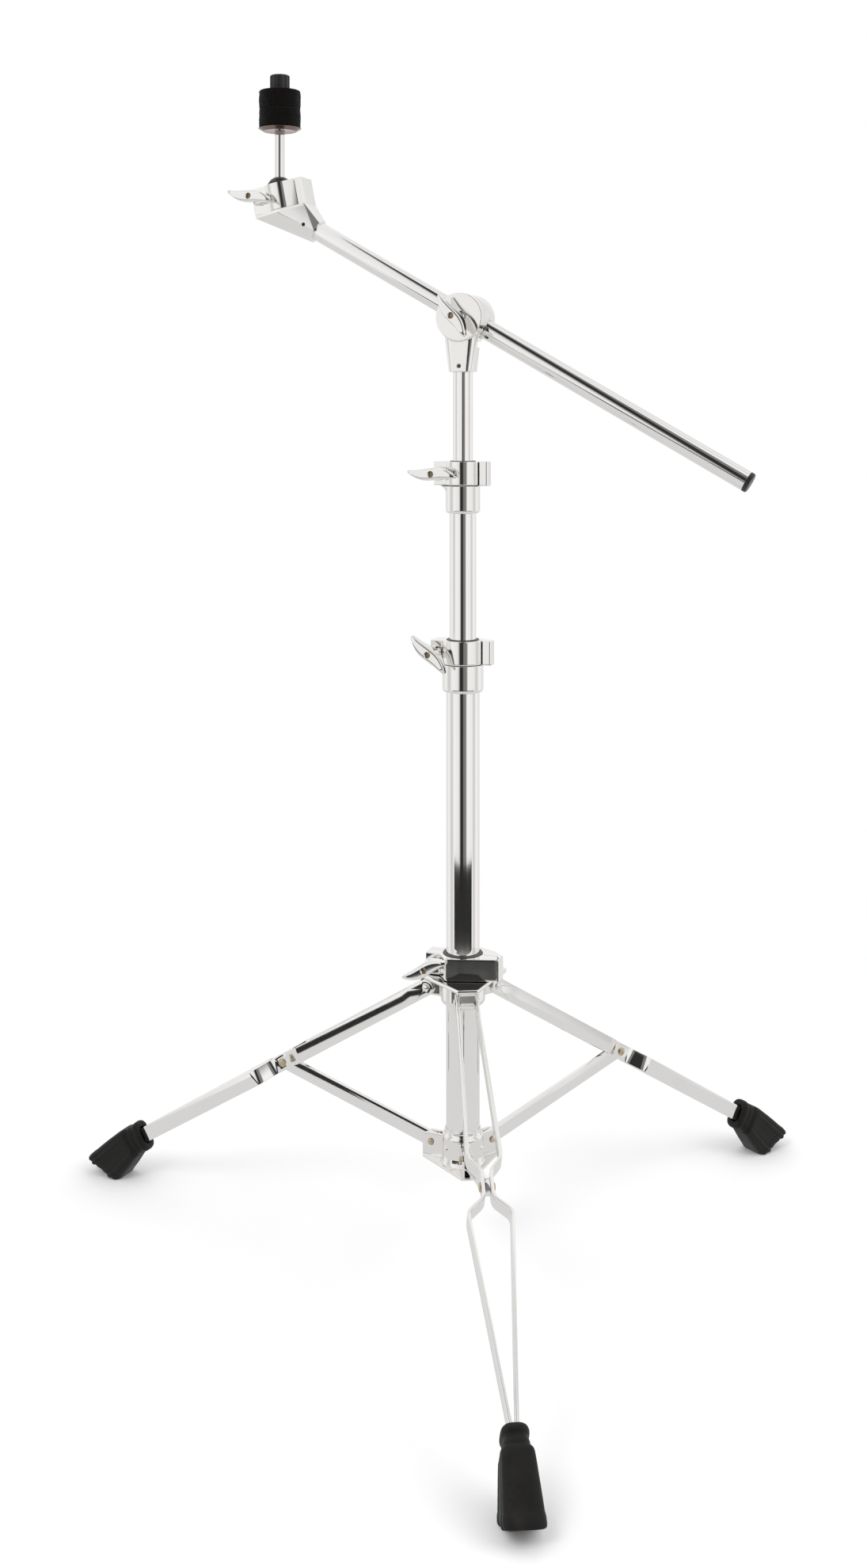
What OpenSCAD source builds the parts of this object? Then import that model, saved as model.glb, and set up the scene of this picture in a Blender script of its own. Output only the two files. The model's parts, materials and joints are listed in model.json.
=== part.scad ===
// Cymbal boom stand: a folding double-braced tripod, a three-tube telescopic column,
// a disc hinge that carries a sliding boom, and a ball tilter with a felted cymbal seat.
// Origin: on the floor below the column's axis. +Z is up, and the front leg points along -Y.

/* [Column] */
// Outside diameter of the base tube
base_d = 31.75; // [31:0.05:32]
// Outside diameter of the middle tube
middle_d = 25.4; // [25:0.05:25.6]
// Outside diameter of the upper tube and of the boom
upper_d = 19.05; // [18.8:0.05:19.2]
// Wall thickness of every tube
tube_wall = 1.5; // [1.2:0.1:1.6]
// Height of the base clamp's top face
base_clamp_z = 578; // [560:1:600]
// Height of the middle clamp's top face
middle_clamp_z = 746; // [735:1:780]
// Height of the boom hinge's axis
hinge_z = 881.5; // [872:0.5:950]
// Turn of the column's clamps and boom about the column's axis
column_yaw = -25; // [-30:1:-20]

/* [Tripod] */
// Distance from the column's axis to a leg's hinge pin
leg_pin_r = 34; // [33:0.5:35]
// Height of the leg hinge pins with the legs spread
leg_pin_z = 247.5; // [246:0.5:249]
// Slope of a spread leg below the horizontal
leg_slope = 31.7; // [31.2:0.1:32.2]
// Distance along a leg from its hinge pin to its strut's pivot
waist_l = 187; // [184:0.5:189]
// Distance along a leg from its hinge pin to the mouth of its foot
foot_l = 383; // [380:1:385]
// Depth of a leg bar, seen from the side
bar_depth = 15; // [13:0.5:16]
// Thickness of a leg bar
bar_t = 3; // [2.6:0.1:3]
// Depth of a strut, seen from the side
strut_depth = 14; // [12:0.5:15]
// Thickness of a strut
strut_t = 4; // [3.4:0.1:4.4]
// Distance from the column's axis to a strut's lower pivot
hub_pin_r = 31; // [30:0.5:32]
// Height of the struts' lower pivots
hub_pin_z = 101; // [100:0.5:102]

/* [Boom] */
// Slope of the boom below the horizontal, towards its tail
boom_slope = 29.8; // [20:0.1:40]
// Distance from the hinge's axis to the boom's tail end
boom_tail_l = 305; // [250:1:320]
// Distance from the hinge's axis to the mouth of the tilter head
boom_nose_l = 178; // [160:1:220]
// Distance from the column's axis plane back to the boom's axis
boom_offset = 13.7; // [13.5:0.1:14]
// Radius of the two hinge discs
disc_r = 22.75; // [22.5:0.05:24]
// Angle between the tilter head's axis and the boom's normal
head_angle = 41; // [38:1:44]

/* [Cymbal seat] */
// Diameter of the cymbal rod
rod_d = 10.2; // [9.4:0.1:10.4]
// Radius of the tilter's ball
ball_r = 13; // [12.8:0.1:13.1]
// Diameter of the felts
felt_d = 41; // [38:1:44]
// Thickness of one felt
felt_h = 18.3; // [15:0.1:20]

/* [Hidden] */
$fn = 64;

// Radial clearances: a running fit, a fixed joint and a loose gap.
running = 0.06;
snug = 0.02;
gap = 0.4;

base_r = base_d / 2;
middle_r = middle_d / 2;
upper_r = upper_d / 2;

// Azimuths of the three legs.
front_az = -90;
right_az = 30;
left_az = 150;
leg_azimuths = [front_az, right_az, left_az];

// Height clamps: a head of head_h on a socket of socket_h, split in front by seams.
head_h = 23;
socket_h = 26;
socket_wall = 3.7;
bush_wall = 2.6;
seam = 0.6;
split_half = 1.2;
ear_front = 12;
ear_back = 10.5;
ear_over = 8.6;
ear_fillet = 7;
bolt_over = 3.7;
head_over = 1;
seam_over = 0.4;
lug_over = 10;
lug_front = 4.5;
lug_back = 5;
socket_round = 3;
bush_proud = 0.6;

// Fasteners.
bolt_r = 3;
bolt_hole_r = 3.3;
bolt_head_af = 10;
bolt_head_h = 4;
pin_r = 2.6;
waist_head_r = 3.9;
pivot_head_r = 3.1;
rivet_head_h = 1.7;
roll_pin_r = 1.8;

// Wing nuts: a waisted hub under a leaf-shaped blade.
wing_l = 22.5;
blade_t = 5;
blade_span = 47;
blade_w = 11.5;
bolt_recess = 3;

// Ends of the tubes. Each inner tube stands on a glide inside the next tube.
base_bottom_z = 87.5;
base_top_z = base_clamp_z - head_h - 3;
middle_bottom_z = 212;
middle_top_z = middle_clamp_z - head_h - 3;
upper_bottom_z = 325;
glide_h = 12;
glide_stem_h = 16;

// Leg collar.
collar_top_z = 283;
collar_plate_z = 262;
collar_plate_t = 4;
collar_bolt_z = (collar_top_z + collar_plate_z) / 2;
collar_bottom_z = 236;
collar_sleeve_r = 21;
collar_ear_x = 33.4;
collar_ear_front = 11;
collar_ear_back = 8;
collar_bolt_x = 27.4;
collar_seam_x = 36.5;
lug_half = 7.5;
lug_reach = 41;
plate_reach = 45;
plate_half = 9.2;

// Half spacing of a leg's bars, and the distances along the leg where it changes.
hinge_c = lug_half + 0.15 + bar_t / 2;
shoulder_c = 14.2;
waist_c = strut_t / 2 + 0.35 + bar_t / 2;
hip_c = 18.4;
foot_c = 2.3;
straight_l = 24;
shoulder_l = waist_l - 23.5;
waist_in_l = waist_l - 11.5;
waist_out_l = waist_l + 12.5;
hip_l = waist_l + 25.5;
bar_end_l = foot_l + 40;
bend = 5;

// Lower hub.
hub_bottom_z = 85;
hub_plate_t = 2.5;
hub_top_z = 119;
hub_r = 19.4;
hub_foot_r = 21;
hub_lip_r = 17.4;
hub_ear_in = strut_t / 2 + 0.3;
hub_ear_t = 2.8;
hub_reach = hub_pin_r + 8.7;
hub_ear_top_z = hub_pin_z + 8.5;
hub_dimple_r = 2.4;

// A strut's length and its slope follow from its two pivots.
waist_r = leg_pin_r + waist_l * cos(leg_slope);
waist_z = leg_pin_z - waist_l * sin(leg_slope);
strut_l = norm([waist_r - hub_pin_r, waist_z - hub_pin_z]);
strut_slope = atan2(waist_z - hub_pin_z, waist_r - hub_pin_r);

// Foot, along the leg from the mouth of its cuff.
cuff_l = 16;
cuff_w = 22;
cuff_depth = 28;
body_w = 27;
body_depth = 30.5;
end_w = 33.5;
end_depth = 41.5;
end_l = 57.5;
end_tilt = 32;
end_drop = 9.8;
pocket_half = 4;

// Boom hinge.
neck_bottom_z = hinge_z - 51.5;
neck_top_z = hinge_z - disc_r - 0.6;
neck_cut_z = hinge_z - 28.2;
neck_half = 11.6;
neck_corner_r = 5.6;
neck_flare = 1.4;
disc_front_y = -12.6;
disc_back_y = -1;
drum_back_y = 27.6;
liner_wall = 1.1;
eye_wall = 1.8;
liner_r = upper_r + running + liner_wall;
eye_r = liner_r + running + eye_wall;
eye_half = 4;
upper_top_z = neck_bottom_z + 20;
neck_pin_z = neck_bottom_z + 5.5;

// Tilter head. The ball's centre, in the boom's own frame, and the clamp block about it.
ball_x = -(boom_nose_l + 58);
ball_z = 16.4;
block_left = -25.5;
block_right = 30;
block_top = 4.2;
block_bottom = -22.3;
block_half = 13;
block_floor = 2.7;
floor_inset = 0.3;
bulge_r = 17.5;
bulge_x = 1.5;
tilter_seam_x = 22.4;
tilter_bolt_x = -19;
tilter_bolt_z = -6;
mouth_r = 12.2;
seat_wall = 1.6;
boom_end_x = -(boom_nose_l + 25);
head_pin_x = -(boom_nose_l + 12);

// Cymbal seat, in heights above the ball's centre.
washer_z = 57.5;
washer_r = felt_d / 2 + 0.9;
washer_t = 1.5;
washer_lip = 3;
felt_z = washer_z + washer_lip;
sleeve_r = 6.1;
thread_r = 4;
thread_z = felt_z - 2;
cap_z = felt_z + 2 * felt_h + 0.2;
cap_h = 15.3;
cap_r = 9.8;
cap_bore_h = 8;
rod_top = cap_z + cap_bore_h - gap;

// ---- Placing ----

module at_leg(az) {
    rotate([0, 0, az]) children();
}

// X runs down a spread leg from its hinge pin, and Z is square to it.
module along_leg(az) {
    at_leg(az) translate([leg_pin_r, 0, leg_pin_z]) rotate([0, leg_slope, 0]) children();
}

module in_column() {
    rotate([0, 0, column_yaw]) children();
}

// X runs along the boom towards its tail, from the hinge's axis.
module along_boom() {
    in_column() translate([0, boom_offset, hinge_z]) rotate([0, boom_slope, 0]) children();
}

// Origin at the ball's centre, with Z along the tilter head's axis.
module in_head() {
    along_boom() translate([ball_x, 0, ball_z]) rotate([0, -head_angle, 0]) children();
}

// Origin at the ball's centre, with Z upright.
module on_ball() {
    along_boom() translate([ball_x, 0, ball_z]) rotate([0, -boom_slope, 0]) children();
}

// Lays children down so that their Z axis points out of the clamps' front.
module facing_front() {
    rotate([90, 0, 0]) children();
}

// ---- Shared pieces ----

module pipe(r_out, r_in, z0, z1) {
    translate([0, 0, z0]) difference() {
        cylinder(r = r_out, h = z1 - z0);
        translate([0, 0, -1]) cylinder(r = r_in, h = z1 - z0 + 2);
    }
}

// A rod along Y, centred on the origin.
module cross_rod(r, half) {
    rotate([90, 0, 0]) cylinder(r = r, h = 2 * half, center = true);
}

// A domed rivet head of radius r on the face at y = side * half.
module rivet_head(side, half, r) {
    translate([0, side * half, 0]) rotate([-90 * side, 0, 0]) rotate_extrude()
        polygon([[0, 0], [r, 0], [r, rivet_head_h * 0.35], [r * 0.8, rivet_head_h * 0.8],
            [r * 0.45, rivet_head_h], [0, rivet_head_h]]);
}

// A rivet along Y with a head of radius r on each of its ends.
module rivet(half, r) {
    cross_rod(pin_r, half);
    for (side = [-1, 1])
        rivet_head(side, half, r);
}

// A bolt from the rear ear's back to just inside the wing nut's face at front_y.
module clamp_bolt(x, z, front_y, back_y) {
    color("darkkhaki") translate([x, 0, z]) facing_front() {
        translate([0, 0, -back_y - snug - bolt_head_h]) rotate([0, 0, 30])
            cylinder(d = bolt_head_af / cos(30), h = bolt_head_h, $fn = 6);
        translate([0, 0, -back_y - snug]) cylinder(r = bolt_r, h = back_y + snug - front_y);
    }
}

// A wing nut whose seat is at z = 0 and whose blade faces +Z, turned about Z.
module wing_nut(turn) {
    blade_r = (blade_span * blade_span + blade_w * blade_w) / (4 * blade_w);
    color("silver") rotate([0, 0, turn]) difference() {
        union() {
            rotate_extrude()
                polygon([[0, 0], [6.6, 0], [6.6, 2.5], [5.2, 8], [5.4, wing_l - 1], [0, wing_l - 1]]);
            translate([0, 0, wing_l - blade_t]) linear_extrude(height = blade_t) intersection() {
                translate([0, blade_r - blade_w / 2]) circle(r = blade_r, $fn = 128);
                translate([0, blade_w / 2 - blade_r]) circle(r = blade_r, $fn = 128);
            }
        }
        translate([0, 0, -1]) cylinder(r = bolt_r + running, h = wing_l + 2);
    }
}

// A wing nut on the clamp face at y = face, on the bolt at x and z.
module clamp_wing_nut(x, z, face, turn) {
    translate([x, -face - gap, z]) facing_front() wing_nut(turn);
}

// ---- Tubes ----

module base_tube() {
    color("gainsboro") pipe(base_r, base_r - tube_wall, base_bottom_z, base_top_z);
}

module middle_tube() {
    color("gainsboro") pipe(middle_r, middle_r - tube_wall, middle_bottom_z, middle_top_z);
}

module upper_tube() {
    color("gainsboro") difference() {
        pipe(upper_r, upper_r - tube_wall, upper_bottom_z, upper_top_z);
        in_column() translate([0, 0, neck_pin_z]) cross_rod(roll_pin_r + snug, 20);
    }
}

// A plastic glide: a flange that slides in the outer tube under the inner tube's end,
// and a stem that the inner tube turns on.
module glide(outer_r, inner_r, z) {
    color("whitesmoke") difference() {
        union() {
            translate([0, 0, z - glide_h - 0.1])
                cylinder(r = outer_r - tube_wall - running, h = glide_h);
            translate([0, 0, z - 0.2])
                cylinder(r = inner_r - tube_wall - running, h = glide_stem_h);
        }
        translate([0, 0, z - glide_h - 1])
            cylinder(r = inner_r - tube_wall - 2, h = glide_h + glide_stem_h + 2);
    }
}

module middle_glide() {
    glide(base_r, middle_r, middle_bottom_z);
}

module upper_glide() {
    glide(middle_r, upper_r, upper_bottom_z);
}

// ---- Height clamps ----

// Plan of a clamp head: a round body, an ear on -X and a lug on +X.
module clamp_plan(r) {
    circle(r = r + head_over);
    translate([-r - ear_over, -ear_front]) square([r + ear_over, ear_front + ear_back]);
    polygon([[0, -lug_front], [r + lug_over - 1.5, -lug_front], [r + lug_over, 1.5 - lug_front],
        [r + lug_over, lug_back], [r * 0.7, r * 0.74], [0, r * 0.9]]);
}

// The front jaw's share of a plan, up to a corner at x and y, grown by g for the rear part's gap.
module jaw_share(x, y, g) {
    polygon([[-60, -60], [x + g, -60], [x + g, y + g], [x + g - 3, g - split_half],
        [-60, g - split_half]]);
}

module bolt_hole(x, z) {
    translate([x, 0, z]) cross_rod(bolt_hole_r, 60);
}

function socket_r(tube_r) = tube_r + socket_wall;
function bush_r(tube_r) = tube_r + bush_wall;
function ear_bolt_x(tube_r) = -(socket_r(tube_r) + bolt_over);

// The fillet under a clamp's ear, between the socket and the head.
module ear_web(r) {
    intersection() {
        rotate_extrude() difference() {
            translate([r - 1, -ear_fillet]) square([ear_fillet + 1, ear_fillet + 0.1]);
            translate([r + ear_fillet, -ear_fillet]) circle(r = ear_fillet);
        }
        translate([-60, -ear_front, -ear_fillet])
            cube([60, ear_front + ear_back, ear_fillet + 0.1]);
    }
}

// A cylinder of radius r and height h, with its lower edge rounded.
module socket(r, h) {
    rotate_extrude() {
        square([r - socket_round, h]);
        translate([0, socket_round]) square([r, h - socket_round]);
        intersection() {
            translate([r - socket_round, socket_round]) circle(r = socket_round);
            square([r, 2 * socket_round]);
        }
    }
}

// The casting on top of an outer tube of radius outer_r that clamps an inner one.
module clamp_body(z_top, outer_r, inner_r) {
    r = socket_r(outer_r);
    head_z = z_top - head_h;
    color("silver") in_column() difference() {
        union() {
            translate([0, 0, head_z]) linear_extrude(height = head_h) difference() {
                clamp_plan(r);
                jaw_share(r + seam_over, -lug_front, seam);
            }
            translate([0, 0, head_z - socket_h]) socket(r, socket_h + 0.1);
            translate([0, 0, head_z]) ear_web(r);
        }
        translate([0, 0, head_z - socket_h - 1]) cylinder(r = outer_r + snug, h = socket_h - 1);
        translate([0, 0, head_z - 5]) cylinder(r = bush_r(inner_r), h = head_h + 10);
        bolt_hole(ear_bolt_x(outer_r), z_top - head_h / 2);
    }
}

module clamp_jaw(z_top, outer_r, inner_r) {
    r = socket_r(outer_r);
    color("silver") in_column() difference() {
        translate([0, 0, z_top - head_h + seam]) linear_extrude(height = head_h - seam)
            intersection() {
                clamp_plan(r);
                jaw_share(r + seam_over, -lug_front, 0);
            }
        translate([0, 0, z_top - head_h]) cylinder(r = bush_r(inner_r), h = head_h + 1);
        bolt_hole(ear_bolt_x(outer_r), z_top - head_h / 2);
    }
}

// The split nylon bush in a clamp, which shows as a ring round the tube.
module clamp_bush(z0, z_top, inner_r) {
    color("dimgray") in_column() difference() {
        pipe(bush_r(inner_r) - snug, inner_r + running, z0, z_top + bush_proud);
        translate([-30, -0.6, z0 - 1]) cube([30, 1.2, z_top - z0 + 4]);
    }
}

module height_clamp_bolt(z_top, outer_r) {
    in_column() clamp_bolt(ear_bolt_x(outer_r), z_top - head_h / 2,
        -ear_front - gap - wing_l + bolt_recess, ear_back);
}

module height_wing_nut(z_top, outer_r, turn) {
    in_column() clamp_wing_nut(ear_bolt_x(outer_r), z_top - head_h / 2, ear_front, turn);
}

module base_clamp() {
    clamp_body(base_clamp_z, base_r, middle_r);
}

module base_clamp_jaw() {
    clamp_jaw(base_clamp_z, base_r, middle_r);
}

module base_clamp_bush() {
    clamp_bush(base_top_z + 0.2, base_clamp_z, middle_r);
}

module base_clamp_bolt() {
    height_clamp_bolt(base_clamp_z, base_r);
}

module base_wing_nut() {
    height_wing_nut(base_clamp_z, base_r, -46);
}

module middle_clamp() {
    clamp_body(middle_clamp_z, middle_r, upper_r);
}

module middle_clamp_jaw() {
    clamp_jaw(middle_clamp_z, middle_r, upper_r);
}

module middle_clamp_bush() {
    clamp_bush(middle_top_z + 0.2, middle_clamp_z, upper_r);
}

module middle_clamp_bolt() {
    height_clamp_bolt(middle_clamp_z, middle_r);
}

module middle_wing_nut() {
    height_wing_nut(middle_clamp_z, middle_r, -6);
}

// ---- Leg collar ----

// A triangle with its three corners cut off square, at radius reach and half width half.
module leg_plate_plan(reach, half) {
    polygon([for (az = leg_azimuths) for (side = [-1, 1])
        [reach * cos(az) - side * half * sin(az), reach * sin(az) + side * half * cos(az)]]);
}

// Plan of the collar's head, in the column's turned frame.
module collar_plan() {
    polygon([[-20, -11], [-16.5, -15], [-10.4, -24.4], [-7.8, -25.6], [39, -11], [39, 3], [27, 14],
        [12, 21], [-8, 22], [-20, 14]]);
    translate([-collar_ear_x, -collar_ear_front])
        square([collar_ear_x, collar_ear_front + collar_ear_back]);
}

module leg_collar() {
    lug_h = collar_plate_z - collar_plate_t - collar_bottom_z;
    color("silver") difference() {
        union() {
            in_column() translate([0, 0, collar_plate_z - 1])
                linear_extrude(height = collar_top_z - collar_plate_z + 1) difference() {
                    collar_plan();
                    jaw_share(collar_seam_x, -5, seam);
                }
            translate([0, 0, collar_plate_z - collar_plate_t])
                linear_extrude(height = collar_plate_t) leg_plate_plan(plate_reach, plate_half);
            translate([0, 0, collar_bottom_z + 3]) cylinder(r = collar_sleeve_r, h = lug_h - 2);
            translate([0, 0, collar_bottom_z])
                cylinder(r1 = collar_sleeve_r - 2, r2 = collar_sleeve_r, h = 3);
            for (az = leg_azimuths)
                at_leg(az) collar_lug();
        }
        translate([0, 0, collar_bottom_z - 1]) cylinder(r = bush_r(base_r), h = 60);
        in_column() bolt_hole(-collar_bolt_x, collar_bolt_z);
        for (az = leg_azimuths)
            at_leg(az) translate([leg_pin_r, 0, leg_pin_z]) cross_rod(pin_r + snug, 20);
    }
}

// The lug that carries one leg's hinge pin.
module collar_lug() {
    translate([leg_pin_r, 0, leg_pin_z]) cross_rod(lug_reach - leg_pin_r, lug_half);
    translate([collar_sleeve_r - 2, -lug_half, leg_pin_z - 7])
        cube([leg_pin_r - collar_sleeve_r + 2, 2 * lug_half, 12]);
    translate([collar_sleeve_r - 2, -lug_half, leg_pin_z])
        cube([lug_reach - collar_sleeve_r + 2, 2 * lug_half,
            collar_plate_z - collar_plate_t - leg_pin_z + 0.1]);
}

module leg_collar_jaw() {
    color("silver") in_column() difference() {
        translate([0, 0, collar_plate_z + seam])
            linear_extrude(height = collar_top_z - collar_plate_z - seam) intersection() {
                collar_plan();
                jaw_share(collar_seam_x, -5, 0);
            }
        translate([0, 0, collar_plate_z]) cylinder(r = bush_r(base_r), h = 40);
        bolt_hole(-collar_bolt_x, collar_bolt_z);
    }
}

module leg_collar_bush() {
    clamp_bush(collar_bottom_z + 1, collar_top_z, base_r);
}

module leg_collar_bolt() {
    in_column() clamp_bolt(-collar_bolt_x, collar_bolt_z,
        -collar_ear_front - gap - wing_l + bolt_recess, collar_ear_back);
}

module collar_wing_nut() {
    in_column() clamp_wing_nut(-collar_bolt_x, collar_bolt_z, collar_ear_front, 22);
}

// One rivet through each lug and its two bars.
module leg_hinge_pins() {
    half = hinge_c + bar_t / 2 + 0.1;
    color("gainsboro") for (az = leg_azimuths)
        at_leg(az) translate([leg_pin_r, 0, leg_pin_z]) rivet(half, pivot_head_r);
}

// ---- Legs ----

function unit(v) = v / norm(v);

// The path p with each inner corner eased into a curve that starts t before it and ends t after.
function eased(p, t) = concat([p[0]],
    [for (i = [1 : len(p) - 2])
        let (from = p[i] + t * unit(p[i - 1] - p[i]))
        let (to = p[i] + t * unit(p[i + 1] - p[i]))
        for (s = [0 : 0.25 : 1]) (1 - s) * (1 - s) * from + 2 * s * (1 - s) * p[i] + s * s * to],
    [p[len(p) - 1]]);

// Half spacing of the bars against distance along the leg, from hinge to foot.
bar_path = eased([
    [-bar_depth / 2, hinge_c], [straight_l, hinge_c], [shoulder_l, shoulder_c],
    [waist_in_l, waist_c], [waist_out_l, waist_c], [hip_l, hip_c],
    [foot_l, foot_c], [bar_end_l, foot_c]
], bend);

// The direction that a mitre takes at point i of the path, scaled to keep the bar's thickness.
function mitre(p, i) =
    let (a = unit(p[max(i, 1)] - p[max(i, 1) - 1]))
    let (b = unit(p[min(i + 1, len(p) - 1)] - p[min(i, len(p) - 2)]))
    let (n = unit([-a.y - b.y, a.x + b.x]))
    n / (n.x * -a.y + n.y * a.x);

module bar_plan() {
    edge = [for (i = [0 : len(bar_path) - 1]) bar_path[i] + mitre(bar_path, i) * bar_t / 2];
    back = [for (i = [len(bar_path) - 1 : -1 : 0]) bar_path[i] - mitre(bar_path, i) * bar_t / 2];
    polygon(concat(edge, back));
}

// A bent flat bar, rounded about its hinge pin. side is +1 or -1.
module leg_bar(az, side) {
    color("gainsboro") along_leg(az) mirror([0, side < 0 ? 1 : 0, 0]) difference() {
        intersection() {
            translate([0, 0, -bar_depth / 2]) linear_extrude(height = bar_depth) bar_plan();
            union() {
                cross_rod(bar_depth / 2, 40);
                translate([0, -40, -bar_depth / 2]) cube([bar_end_l + 1, 80, bar_depth]);
            }
        }
        cross_rod(pin_r + running, 40);
        translate([waist_l, 0, 0]) cross_rod(pin_r + snug, 40);
    }
}

// The two heads and stub shanks of a leg's waist rivet.
module leg_rivets(az) {
    inner = waist_c - bar_t / 2 + 0.05;
    outer = waist_c + bar_t / 2 + snug;
    color("darkkhaki") along_leg(az) translate([waist_l, 0, 0])
        for (side = [-1, 1]) {
            rivet_head(side, outer, waist_head_r);
            translate([0, side * (inner + outer) / 2, 0]) cross_rod(pin_r, (outer - inner) / 2);
        }
}

// A slab of the foot's section at distance l from its mouth, dropped and tilted about Y.
module foot_section(l, w, depth, drop, tilt) {
    translate([foot_l + l, 0, -drop]) rotate([0, tilt, 0])
        translate([-1, -w / 2, -depth / 2]) cube([2, w, depth]);
}

module foot(az) {
    color("black") difference() {
        along_leg(az) difference() {
            union() {
                translate([foot_l, -cuff_w / 2, -cuff_depth / 2]) cube([cuff_l, cuff_w, cuff_depth]);
                hull() {
                    foot_section(cuff_l, body_w, body_depth, 0, 0);
                    foot_section(end_l, end_w, end_depth, end_drop, end_tilt);
                }
            }
            translate([foot_l - 1, -pocket_half, -bar_depth / 2 - snug])
                cube([bar_end_l - foot_l + 2, 2 * pocket_half, bar_depth + 2 * snug]);
        }
        translate([0, 0, -100]) cube([1200, 1200, 200], center = true);
    }
}

// A strut between its hub pin and the waist of its leg.
module strut(az) {
    color("gainsboro") at_leg(az) translate([hub_pin_r, 0, hub_pin_z])
        rotate([0, -strut_slope, 0]) difference() {
            union() {
                cross_rod(strut_depth / 2, strut_t / 2);
                translate([strut_l, 0, 0]) cross_rod(strut_depth / 2, strut_t / 2);
                translate([0, -strut_t / 2, -strut_depth / 2]) cube([strut_l, strut_t, strut_depth]);
            }
            cross_rod(pin_r + running, 20);
        }
}

module front_leg_left_bar() { leg_bar(front_az, -1); }
module front_leg_right_bar() { leg_bar(front_az, 1); }
module front_leg_rivets() { leg_rivets(front_az); }
module front_foot() { foot(front_az); }
module front_strut() { strut(front_az); }
module right_leg_left_bar() { leg_bar(right_az, 1); }
module right_leg_right_bar() { leg_bar(right_az, -1); }
module right_leg_rivets() { leg_rivets(right_az); }
module right_foot() { foot(right_az); }
module right_strut() { strut(right_az); }
module left_leg_left_bar() { leg_bar(left_az, -1); }
module left_leg_right_bar() { leg_bar(left_az, 1); }
module left_leg_rivets() { leg_rivets(left_az); }
module left_foot() { foot(left_az); }
module left_strut() { strut(left_az); }

// ---- Lower hub ----

// One of the two ears that hold a strut's lower end.
module hub_ear(side) {
    inset = 6;
    translate([0, side * (hub_ear_in + hub_ear_t / 2), 0]) rotate([90, 0, 0])
        linear_extrude(height = hub_ear_t, center = true)
            polygon([[hub_r - 3, hub_bottom_z + 1], [hub_reach, hub_bottom_z + 1],
                [hub_reach, hub_ear_top_z - inset], [hub_reach - inset * 0.3,
                hub_ear_top_z - inset * 0.3], [hub_reach - inset, hub_ear_top_z],
                [hub_r - 3, hub_ear_top_z]]);
}

// The hub's sleeve: flared at its foot, and drawn in to a lip at its top.
module hub_sleeve() {
    inner = base_r + snug;
    rotate_extrude() polygon([[inner, hub_bottom_z], [hub_foot_r, hub_bottom_z],
        [hub_foot_r, hub_bottom_z + hub_plate_t], [hub_r + 0.4, hub_bottom_z + 5],
        [hub_r, hub_bottom_z + 9], [hub_r, hub_top_z - 7], [hub_r - 0.5, hub_top_z - 5.5],
        [hub_lip_r + 0.3, hub_top_z - 4], [hub_lip_r, hub_top_z - 2.5],
        [hub_lip_r, hub_top_z], [inner, hub_top_z]]);
}

module lower_hub() {
    color("silver") difference() {
        union() {
            hub_sleeve();
            difference() {
                translate([0, 0, hub_bottom_z]) linear_extrude(height = hub_plate_t)
                    leg_plate_plan(hub_reach, hub_ear_in + hub_ear_t);
                translate([0, 0, hub_bottom_z - 1]) cylinder(r = base_r + snug, h = 10);
            }
            for (az = leg_azimuths) {
                for (side = [-1, 1])
                    at_leg(az) hub_ear(side);
                at_leg(az + 60) translate([hub_r - 0.5, 0, hub_pin_z + 1]) sphere(r = hub_dimple_r);
            }
        }
        for (az = leg_azimuths)
            at_leg(az) translate([hub_pin_r, 0, hub_pin_z]) cross_rod(pin_r + snug, 12);
    }
}

module strut_pivot_pins() {
    color("darkkhaki") for (az = leg_azimuths)
        at_leg(az) translate([hub_pin_r, 0, hub_pin_z])
            rivet(hub_ear_in + hub_ear_t + snug, pivot_head_r);
}

// ---- Boom hinge ----

// The neck and the front disc. The neck flares across X and is cut away behind the disc.
module hinge_neck() {
    neck_h = neck_top_z - neck_bottom_z + 8;
    color("silver") in_column() difference() {
        union() {
            difference() {
                translate([0, 0, neck_bottom_z]) linear_extrude(height = neck_h,
                    scale = [neck_flare, 1], slices = 1) rounded_square(neck_half, neck_corner_r);
                translate([-40, disc_back_y, neck_cut_z]) cube([80, 40, 60]);
            }
            translate([0, disc_back_y, hinge_z]) facing_front()
                cylinder(r = disc_r, h = disc_back_y - disc_front_y);
        }
        translate([0, 0, neck_bottom_z - 1]) cylinder(r = upper_r + snug,
            h = upper_top_z - neck_bottom_z + 1 + snug);
        translate([0, 0, hinge_z]) cross_rod(bolt_r + running, 60);
        translate([0, 0, neck_pin_z]) cross_rod(roll_pin_r + snug, 20);
    }
}

module rounded_square(half, r) {
    square([2 * half, 2 * (half - r)], center = true);
    square([2 * (half - r), 2 * half], center = true);
    for (x = [r - half, half - r])
        for (y = [r - half, half - r])
            translate([x, y]) circle(r = r, $fn = 48);
}

module neck_roll_pin() {
    color("dimgray") in_column() translate([0, 0, neck_pin_z]) cross_rod(roll_pin_r, neck_half - 1);
}

// The rear disc, bored for the boom and slotted for the eye bolt.
module hinge_drum() {
    front = disc_back_y + 0.2;
    color("silver") difference() {
        in_column() translate([0, drum_back_y, hinge_z]) facing_front()
            cylinder(r = disc_r, h = drum_back_y - front);
        along_boom() {
            rotate([0, 90, 0]) cylinder(r = liner_r + running, h = 4 * disc_r, center = true);
            rotate([0, 90, 0]) cylinder(r = eye_r + 0.15, h = 2 * eye_half + 0.4, center = true);
            translate([-eye_half - 0.2, -30, -eye_r - 0.15])
                cube([2 * eye_half + 0.4, 30, 2 * eye_r + 0.3]);
        }
    }
}

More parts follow.
